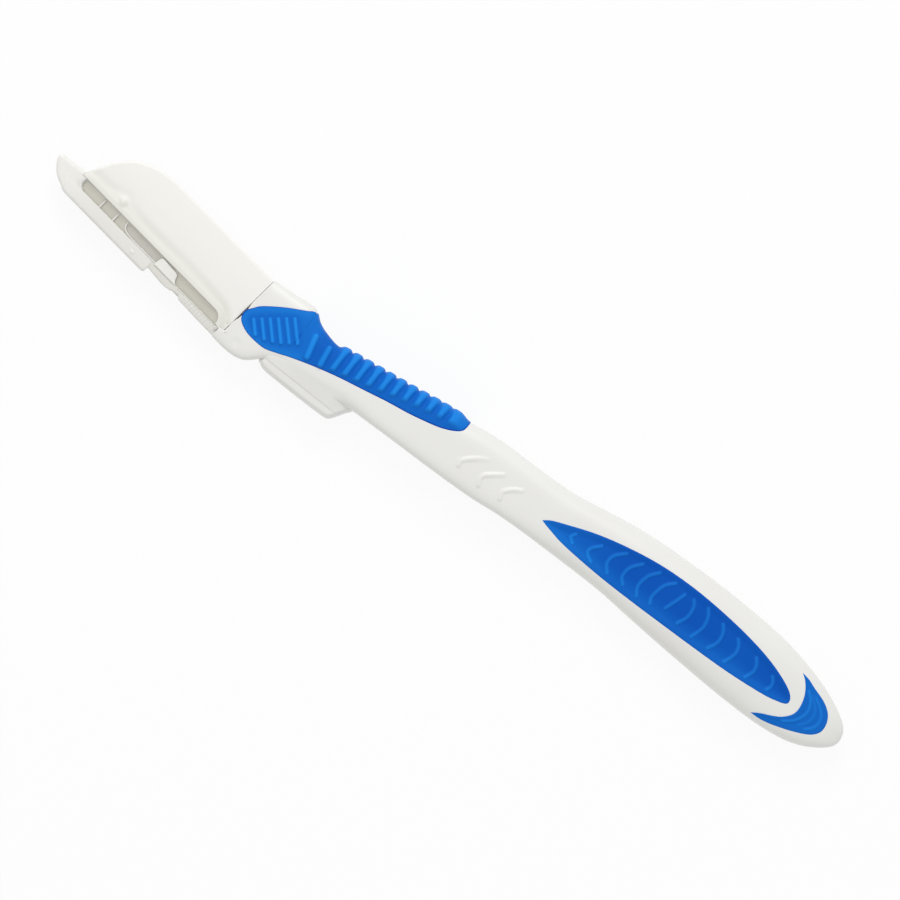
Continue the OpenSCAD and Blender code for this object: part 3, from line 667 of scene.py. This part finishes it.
leaf_arcs = [curve(path, 5) for path in (
    [(62.6, 1.0), (62.2, 0.25), (63.0, -0.4)],
    [(67.0, 2.0), (65.85, 0.7), (65.9, -0.3), (67.1, -1.0)],
    [(70.9, 3.4), (69.5, 2.0), (69.25, 0.4), (70.2, -0.9)],
    [(73.9, 3.6), (72.6, 1.9), (72.45, 0.1), (73.3, -0.85)],
    [(76.9, 4.15), (75.7, 2.55), (75.35, 0.4), (76.1, -1.0)],
    [(79.9, 4.3), (78.65, 2.9), (78.1, 0.5), (78.5, -0.7)],
    [(82.1, 3.7), (81.7, 2.4), (80.9, 0.2)],
    [(83.8, 3.9), (84.4, 3.0), (84.55, 1.2), (83.8, -0.6)],
    [(86.4, 4.2), (87.2, 3.0), (87.5, 1.2), (86.85, -0.95)],
    [(89.8, 3.6), (90.6, 2.4), (90.75, 0.7), (90.0, -0.85)],
    [(93.1, 3.15), (93.85, 2.2), (94.05, 0.8), (93.4, -1.0)],
    [(97.2, 2.5), (97.85, 1.55), (98.05, 0.4), (97.5, -0.95)],
    [(101.0, 1.65), (101.55, 0.95), (101.7, 0.2), (101.4, -0.5)])]
left, right = leaf_outline[0, 0], leaf_outline[:, 0].max()
tip = int(np.argmax(leaf_outline[:, 0]))
LEAF_END = 0.6
cols = np.concatenate([left + LEAF_END * np.linspace(0, 1, 7)[:-1] ** 2,
                       finer(left + LEAF_END, right - LEAF_END, 0.14),
                       right - LEAF_END * np.linspace(1, 0, 9)[1:] ** 2])
top_y = np.interp(cols, leaf_outline[:tip + 1, 0], leaf_outline[:tip + 1, 1])
low_y = np.interp(cols, leaf_outline[tip:][::-1, 0], leaf_outline[tip:][::-1, 1])
fraction = np.concatenate([[0, 0.006, 0.015, 0.03], np.linspace(0.05, 0.95, 44),
                           [0.97, 0.985, 0.994, 1]])
x = np.broadcast_to(cols[:, None], (len(cols), len(fraction)))
y = low_y[:, None] + (top_y - low_y)[:, None] * fraction
lines = np.max([bump(distance(x, y, arc), 0.6) for arc in leaf_arcs], axis=0)
# Painted light on the dished leaf: its field is paler toward the belly side and at its front end.
pale = 0.16 + 0.14 * step(-y, -1.0, 1.2) + 0.16 * (1 - step(x, 60, 74))
inlay("soft_leaf", x, y, leaf_outline, lines, 0.38, 1.2, pale, ("front_leaf_inlay", "back_leaf_inlay"))


# %% Crescent
def evenly(path, count):
    """The same path with so many points, evenly far apart."""
    gone = np.concatenate([[0], np.cumsum(np.hypot(*np.diff(path, axis=0).T))])
    return np.stack([np.interp(np.linspace(0, gone[-1], count), gone, path[:, k]) for k in (0, 1)], 1)


inner, outer = (evenly(side, 90) for side in crescent_sides)
fraction = np.concatenate([[0, 0.01, 0.03, 0.06], np.linspace(0.09, 0.91, 40), [0.94, 0.97, 0.99, 1]])
both = inner[:, None] + (outer - inner)[:, None] * fraction[None, :, None]
x, y = both[..., 0], both[..., 1]
crescent_arcs = [curve(path, 5) for path in (
    [(107.0, 3.3), (107.9, 2.5), (108.55, 1.5), (108.8, 0.35), (108.45, -0.95), (107.65, -2.1),
     (106.4, -3.0)],
    [(108.5, 3.1), (109.9, 2.3), (110.95, 1.3), (111.3, 0.1), (111.0, -1.0), (110.1, -1.9)],
    [(107.8, 2.95), (108.85, 2.3), (109.7, 1.4), (110.05, 0.25), (109.75, -0.95), (108.9, -2.0)])]
lines = np.max([strength * bump(distance(x, y, arc), 0.5)
                for strength, arc in zip((0.8, 0.7, 0.4), crescent_arcs)], axis=0)
inlay("soft_crescent", x, y, crescent_outline, lines, 0.2, 0.8, 0.36,
      ("front_tail_inlay", "back_tail_inlay"))

# %% [markdown]
# ## Blade holder
# Two cream mouldings sandwich the steel. Each face is rounded at the spine and the tip, and beside
# the steel a narrow rail stands up behind a shallow valley. A face is a height over its outline: rows
# along the head, columns from the window edge up to the spine edge, with walls down to the parting
# plane. The back half is the mirror image, but for the tang that plugs into the handle, where the
# front half has a small key instead.

# %% Holder faces
HEAD_L, FACE_W, TIP_L, HALF_T = 33.0, 9.7, 11.2, 1.6
REAR_U, WINDOW_U = -0.366, 1.416
ROUND_U, ROUND_V, ROUND_R = 3.066, -11.35, 1.65
BOSS_U, BOSS_V = 25.35, -8.15
tip_edge = curve(shares([[0, 0], [0.28, -0.046], [0.5, -0.155], [0.62, -0.245], [0.745, -0.405],
                         [0.825, -0.55], [0.915, -0.775], [0.98, -0.93], [1, -1]], TIP_L, FACE_W)
                 + [HEAD_L - TIP_L, 0], 8)
spine_edge = np.vstack([[[REAR_U, 0]], tip_edge])
bend = np.radians(np.linspace(0, 90, 13))
window_edge = np.vstack([[[HEAD_L, -FACE_W]], np.stack([ROUND_U - ROUND_R * np.sin(bend),
                                                       ROUND_V + ROUND_R * np.cos(bend)], 1)])
valley_line = curve([(33.2, -8.9), (32.2, -8.2), (31.07, -7.9), (28.8, -7.85), (26.9, -7.5),
                     (25.4, -7.1), (23.9, -7.6), (21, -8.0), (18, -8.1), (11.3, -7.9), (6.7, -8.1),
                     (4.0, -8.3), (2.1, -8.8), (0.9, -9.7), (0.45, -11.0)], 4)


def holder_height(u, v):
    """Height of the face over the parting plane."""
    off_window = distance(u, v, window_edge)
    rail = 0.14 * (1 - step(off_window, 0.75, 1.25))
    valley = 0.2 * np.exp(-(distance(u, v, valley_line) / 0.8) ** 2)
    boss = 0.32 * (1 - step(np.hypot(u - BOSS_U, v - BOSS_V), 0.25, 0.95))
    crown = 0.14 * (1 - ((v + 4.2) / 4.2) ** 2) * step(v, -8.4, -4.2)
    edge = rim(distance(u, v, spine_edge), 0.4)
    sill = rim(off_window, 0.16)
    back = rim(u - REAR_U, 0.12)
    return HALF_T + crown + rail - valley + boss + edge + sill + back


rear = 0.35 * (1 - np.cos(np.linspace(0, np.pi / 2, 7)))
cols = np.unique(np.concatenate([
    REAR_U + rear, finer(REAR_U + 0.45, WINDOW_U - 0.1, 0.2),
    ROUND_U - ROUND_R * np.sin(np.radians(np.linspace(90, 0, 16))), [WINDOW_U - 0.003],
    finer(ROUND_U + 0.2, HEAD_L - 3, 0.22), HEAD_L - 3 * np.linspace(1, 0, 34)[1:] ** 1.6]).round(4))
high_v = np.interp(cols, spine_edge[:, 0], spine_edge[:, 1])
low_v = np.where(cols < WINDOW_U - 0.001, ROUND_V, np.where(
    cols > ROUND_U, -FACE_W,
    ROUND_V + np.sqrt(np.maximum(ROUND_R ** 2 - (cols - ROUND_U) ** 2, 0))))
near = np.array([0, 0.003, 0.008, 0.015, 0.024, 0.035])
fraction = np.concatenate([near * 0.8, np.linspace(0.04, 0.955, 66), 1 - near[::-1]])
u = np.broadcast_to(cols[:, None], (len(cols), len(fraction))).copy()
v = low_v[:, None] + (high_v - low_v)[:, None] * fraction
face = np.maximum(holder_height(u, v), 0.3)
bay = curve([(31.32, -11.24), (31.5, -11.2), (31.86, -10.85), (31.96, -10.4), (31.86, -10.0),
             (31.6, -9.75), (31.2, -9.66)], 4)
shoulder = [(32.84, -9.25), (HEAD_L, -9.6), (HEAD_L, ROUND_V), (31.2, ROUND_V), *bay, (31.2, -9.25)]
KEY, KEY_Z = rectangle(-0.79, 0.4, -9.95, -8.85), 1.55
TANG, TANG_FOOT, TANG_Z = rectangle(-9.39, -0.9, -6.62, -2.62), rectangle(-1.1, 0.1, -6.62, -2.62), 0.8
for side, name, node in ((1, "holder_face", "holder_front"), (-1, "holder_rear_face", "holder_back")):
    holder = bmesh.new()
    wall_u, wall_v, wall_z = (np.pad(a, 1, mode="edge") for a in (u, v, face))
    for rim_line in (np.s_[0], np.s_[-1], np.s_[:, 0], np.s_[:, -1]):
        wall_z[rim_line] = 0.03
    # The face is darker near the window, fading out from 1.2 to 3 mm away from it.
    shade_tint = 0.2 + 0.8 * step(distance(wall_u, wall_v, window_edge), 1.2, 3.0)
    skin(holder, on_head(wall_u, wall_v, side * wall_z), shade_tint)
    low_z, high_z = sorted((side * 0.02, side * 0.5))
    prism(holder, shoulder, low_z, high_z, on_head, 0.08, 2)
    if side > 0:
        prism(holder, KEY, 0, KEY_Z, on_head, 0.08)
    else:
        prism(holder, TANG, -TANG_Z, TANG_Z, on_head, 0.15)
        prism(holder, TANG_FOOT, -TANG_Z, 0, on_head, 0.15)
    piece(holder, name, "razor", cream, node, sharp=35)

# %% [markdown]
# ## Steel and guard
# The blade and the comb behind it are flat strips with straight edges, and the solids are already
# their shape. They keep their meshes and only get their finish.

# %% Finish of the blade and the comb
def dress(node, finish):
    """Gives a finish to a solid of the frame, which keeps its mesh."""
    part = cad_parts[node]
    part.data.materials.clear()
    part.data.materials.append(finish["material"])


dress("blade", steel)
dress("edge_guard", matt)

# %% [markdown]
# ## Edge cover
# A thin milky moulding slides over the cutting edge from the tip. In section it is a U whose depth
# changes along it: a ribbed heel, a waist with a claw over the steel, and a thick tip part with the
# pull tab. Each part is a closed ring of points swept along the head, with rounded outer corners. The
# heel ends in a few low steps, so it meets the head without a dark notch.

# %% U-shaped sections
LIP_V, CAVITY_V, INNER_Z, OUTER_Z = -11.5, -12.4, 0.65, 1.1
HEEL_U, HEEL_END, WAIST_END, TIP_END = 0.49, 8.72, 15.45, 33.85


def u_ring(bottom, corner, front):
    """Points round the U, from its front lip out, under, back and up the inside."""
    quarter = np.radians(np.linspace(90, 0, 8))
    half = [[(LIP_V, INNER_Z), (LIP_V, top - 0.12), (LIP_V - 0.04, top - 0.03), (LIP_V - 0.14, top)]
            + [(bottom + corner - corner * np.cos(q), top - corner + corner * np.sin(q))
               for q in quarter] for top in (front, OUTER_Z)]
    return np.array(half[0] + [(v, -z) for v, z in half[1][::-1]]
                    + [(CAVITY_V, -INNER_Z), (CAVITY_V, INNER_Z), (LIP_V, INNER_Z)])


def channel(bm, places, bottoms, corners, front):
    """Sweeps the U along the head; its two ends are closed with the rest of the piece."""
    rings = np.array([u_ring(bottom, corner, front) for bottom, corner in zip(bottoms, corners)])
    along = np.broadcast_to(np.array(places)[:, None], rings.shape[:2])
    skin(bm, on_head(along, rings[..., 0], rings[..., 1]))


cover = bmesh.new()
heel_u = finer(HEEL_U, HEEL_END, 0.2)
channel(cover, heel_u,
        np.interp(heel_u, [HEEL_U, 4.5, 8.1, HEEL_END], [-13.0, -12.98, -12.86, -12.55]),
        np.interp(heel_u, [HEEL_U, 1.2, HEEL_END], [0.25, 0.45, 0.2]), 1.0)
prism(cover, rectangle(0.8, 9.6, -11.72, -11.5), 0.9, OUTER_Z, on_head, 0.08)
for start in np.arange(0.95, 8.0, 0.6):
    prism(cover, rectangle(start, start + 0.32, -12.6, -11.6), 0.9, 1.04, on_head, 0.06, 2)
waist = curve([(HEEL_END - 0.06, -12.42), (9.1, -12.42), (9.6, -12.5), (10.4, -12.8),
               (11.4, -12.98), (12.9, -12.92), (WAIST_END, -12.7)], 6)
channel(cover, waist[:, 0], waist[:, 1], np.full(len(waist), 0.3), 0.96)
tip_start = WAIST_END - 0.06
tip_u = finer(tip_start, TIP_END, 0.25, (tip_start, 16.4, 0.08))
channel(cover, tip_u, np.interp(tip_u, [tip_start, 15.55, 15.9, HEAD_L, TIP_END],
                                [-13.55, -13.78, -13.85, -13.85, -13.66]),
        np.interp(tip_u, [tip_start, 15.9], [0.45, 0.6]), OUTER_Z)

# %% [markdown]
# A long plate behind the steel joins the parts, and on the front a hooked claw, a clear tongue and two
# thin fingers reach over it. They are small prisms with rounded edges. A collar covers the end of the
# head and rises softly from the rounded end of the steel, most beside the rail. The tab is a flat
# lens that grows out of the collar, so its height falls off toward its edge.

# %% Plates, claw and fingers
prism(cover, rectangle(3.07, 33.15, -11.55, -9.85), -OUTER_Z, -INNER_Z, on_head, 0.12)
prism(cover, rectangle(8.6, 15.5, -12.6, -11.4), -OUTER_Z, -INNER_Z, on_head, 0.1)
claw = curve([(15.0, -11.62), (14.85, -10.9), (14.72, -10.2), (14.2, -9.92), (12.8, -10.02),
              (11.4, -10.12), (11.0, -10.38), (10.85, -10.8), (10.6, -11.2), (10.1, -11.62)], 3)
prism(cover, claw, INNER_Z, OUTER_Z + 0.15, on_head, 0.14)
for middle in (0.743 * HEAD_L, 0.833 * HEAD_L):
    prism(cover, rectangle(middle - 0.14, middle + 0.14, -11.6, -9.85), INNER_Z, INNER_Z + 0.14,
          on_head, 0.05)
for foot_v, height, way_in in ((-11.62, 1.4, 0.0), (-11.84, 1.28, 0.02), (-12.06, 1.17, 0.04),
                               (-12.3, 1.07, 0.06)):
    prism(cover, rectangle(0.54 + way_in, 1.3 - way_in, foot_v, -11.42 - way_in),
          INNER_Z + way_in, height, on_head, 0.07, 2)
pip = [(18.8 + 0.5 * np.cos(t), -12.7 + 0.32 * np.sin(t)) for t in np.radians(np.arange(0, 360, 20))]
prism(cover, pip, OUTER_Z - 0.1, OUTER_Z + 0.12, on_head, 0.1)

# %% Collar and pull tab
TAB_U = 33.04
brink = curve([(30.9, -11.6), (31.5, -11.22), (31.84, -10.85), (31.94, -10.4), (31.88, -10.0),
               (31.78, -9.73)], 5)
out = (np.linspace(0, 1, 16) ** 1.5)[:, None]
beyond = np.stack([np.full(len(brink), 33.6), np.linspace(-12.2, -9.74, len(brink))], 1)
spread = brink[:, None] + (beyond - brink)[:, None] * out
by_rail = step(spread[..., 1], -11.9, -9.6)
rise = np.clip(distance(spread[..., 0], spread[..., 1], brink) / (0.7 - 0.4 * by_rail), 0, 1)
rise = np.sqrt(1 - (1 - rise) ** 2) * (0.4 + 0.5 * by_rail * (1 - step(spread[..., 0], 32.4, 33.4)))
top = on_head(spread[..., 0], spread[..., 1], INNER_Z + rise)
under = on_head(spread[..., 0], spread[..., 1], 0.53)
skin(cover, np.concatenate([top, under[:, ::-1], top[:, :1]], 1))
tab_edge = curve(shares([[0, -0.923], [0.31, -0.959], [0.65, -0.98], [0.915, -0.995], [1, -1.03],
                         [0.995, -1.1], [0.85, -1.2], [0.62, -1.3], [0.31, -1.37], [0, -1.42]],
                        4.6, FACE_W) + [33.15, 0], 8)
tab_edge = np.vstack([[TAB_U - 0.01, tab_edge[0, 1]], tab_edge, [TAB_U - 0.01, tab_edge[-1, 1]]])
far = int(np.argmax(tab_edge[:, 0]))
cols = np.concatenate([finer(TAB_U, 36.6, 0.12),
                       tab_edge[far, 0] - 1.15 * np.linspace(1, 0, 18)[1:] ** 1.7])
high_v = np.interp(cols, tab_edge[:far + 1, 0], tab_edge[:far + 1, 1])
low_v = np.interp(cols, tab_edge[far:][::-1, 0], tab_edge[far:][::-1, 1])
fraction = (1 - np.cos(np.linspace(0, np.pi, 44))) / 2
u = np.broadcast_to(cols[:, None], (len(cols), len(fraction)))
v = low_v[:, None] + (high_v - low_v)[:, None] * fraction
away = HEAD_L - np.interp(v, tip_edge[::-1, 1], tip_edge[::-1, 0])
u = u - np.minimum(away, 0.4) * (1 - step(u, TAB_U, 33.8))
depth = distance(u, v, tab_edge)
plump = 0.62 + 0.44 * (1 - step(u - 0.3 * (v + 11.5), 33.5, 34.5))
z = plump * np.sqrt(1 - (1 - np.clip(depth / 0.6, 0, 1)) ** 2)
skin(cover, on_head(u, v, z))
skin(cover, on_head(u, v, -z))

# %% Tint of the cover: greyer where it is thin, palest on what stands up
layer = cover.verts.layers.float["shade_tint"]
for vert in cover.verts:
    x_mm, y_mm, z_mm = np.array(vert.co) + MID
    place_u = -x_mm * np.cos(TILT) + (y_mm - SEAM_Y) * np.sin(TILT)
    thick = np.interp(place_u, [9, 9.5, 15.2, 15.6, 27, 31.5, HEAD_L],
                      [0.55, 0.5, 0.5, 0.72, 0.72, 0.88, 1.0])
    vert[layer] = 1.0 if z_mm > OUTER_Z + 0.08 else thick
piece(cover, "milky_edge_cover", "cover", milky, "edge_cover", sharp=35)

# %% [markdown]
# The tongue beside the claw is so thin that the steel shows through it. Its edge shows only as a
# highlight, which is painted as a fine bead of the palest milky plastic round a clear plate.

# %% Clear tongue and its painted highlight bead
tongue_edge = curve([(22.45, -9.9), (22.4, -10.35), (22.05, -10.9), (21.4, -11.15), (20.4, -11.27),
                     (18.6, -11.3), (16.6, -11.28), (14.95, -11.3)], 5)
tongue = bmesh.new()
prism(tongue, [*tongue_edge, (14.95, -9.87)], INNER_Z, INNER_Z + 0.2, on_head, 0.03, 1)
piece(tongue, "clear_tongue", "cover", clear)
away = np.gradient(tongue_edge, axis=0)
away = np.stack([-away[:, 1], away[:, 0]], 1) / np.hypot(*away.T)[:, None]
highlight_bead_outline = np.vstack([tongue_edge - 0.03 * away, (tongue_edge + 0.17 * away)[::-1]])
highlight_bead = bmesh.new()
prism(highlight_bead, highlight_bead_outline, INNER_Z + 0.05, INNER_Z + 0.3, on_head, 0.05, 2)
# Every vertex of the bead takes the palest tone, as a painted highlight.
layer = highlight_bead.verts.layers.float.new("shade_tint")
for vert in highlight_bead.verts:
    vert[layer] = 1.0
piece(highlight_bead, "tongue_highlight_bead", "cover", milky)

# %% [markdown]
# ## Studio
# The photograph was taken from straight above on plain white. The floor under the razor is white to
# the camera and in reflections, and still takes the razor's shadow. One large soft lamp stands on the
# spine side, and the white world fills the rest. The camera hangs a metre above the razor and is
# turned, so the razor lies across the picture from corner to corner.

# %% Floor, world and lamp
def seen_directly(shading):
    """1 for what the camera sees, straight or in gloss or glass, and 0 for light that fills shade."""
    ray = [shading.node("ShaderNodeLightPath", {}, {}, f"Is {kind} Ray")
           for kind in ("Camera", "Glossy", "Transmission")]
    return ray[0].greatest(ray[1]).greatest(ray[2])


slab = bmesh.new()
bmesh.ops.create_grid(slab, x_segments=1, y_segments=1, size=2.0)
floor_mesh = bpy.data.meshes.new("floor")
slab.to_mesh(floor_mesh)
slab.free()
GLOW = 0.9
paper = Finish("floor_paper", Base_Color=(0.92, 0.92, 0.92, 1), Roughness=0.9)
paper_white = paper.node("ShaderNodeEmission", {}, {"Strength": 1.0})
paper_seen = paper.node("ShaderNodeMixShader", {}, {
    0: seen_directly(paper) * GLOW, 1: Value(paper, paper.shader.outputs[0]), 2: paper_white})
paper.tree.links.new(paper_seen.socket, next(
    n for n in paper.tree.nodes if n.type == "OUTPUT_MATERIAL").inputs["Surface"])
floor_mesh.materials.append(paper.material)
floor = bpy.data.objects.new("floor", floor_mesh)
bpy.context.scene.collection.objects.link(floor)

world = bpy.data.worlds.new("studio")
bpy.context.scene.world = world
FILL = 0.7
sky = Shading(world, "BACKGROUND")
sky.shader.inputs["Color"].default_value = (1, 1, 1, 1)
sky.feed("Strength", seen_directly(sky) * (1 - FILL) + FILL)

key = bpy.data.lights.new("key", "AREA")
key.shape, key.size, key.energy = "DISK", 0.4, 1.95
key_lamp = bpy.data.objects.new("key", key)
key_lamp.location = (-0.25, 0.42, 0.55)
key_lamp.rotation_euler = (-key_lamp.location).to_track_quat("-Z", "Y").to_euler()
bpy.context.scene.collection.objects.link(key_lamp)

# %% Camera
SENSOR_MM, LENS_MM = 36.0, 252.15
LIES_AT = np.radians(36.85)
lens = bpy.data.cameras.new("above")
lens.type, lens.sensor_width, lens.lens = "PERSP", SENSOR_MM, LENS_MM
camera = bpy.data.objects.new("above", lens)
camera.location = (0.00006, 0.00004, 1.0042)
camera.rotation_euler = (0, 0, LIES_AT)
bpy.context.scene.collection.objects.link(camera)
bpy.context.scene.camera = camera
bpy.context.scene.view_settings.view_transform = "Standard"
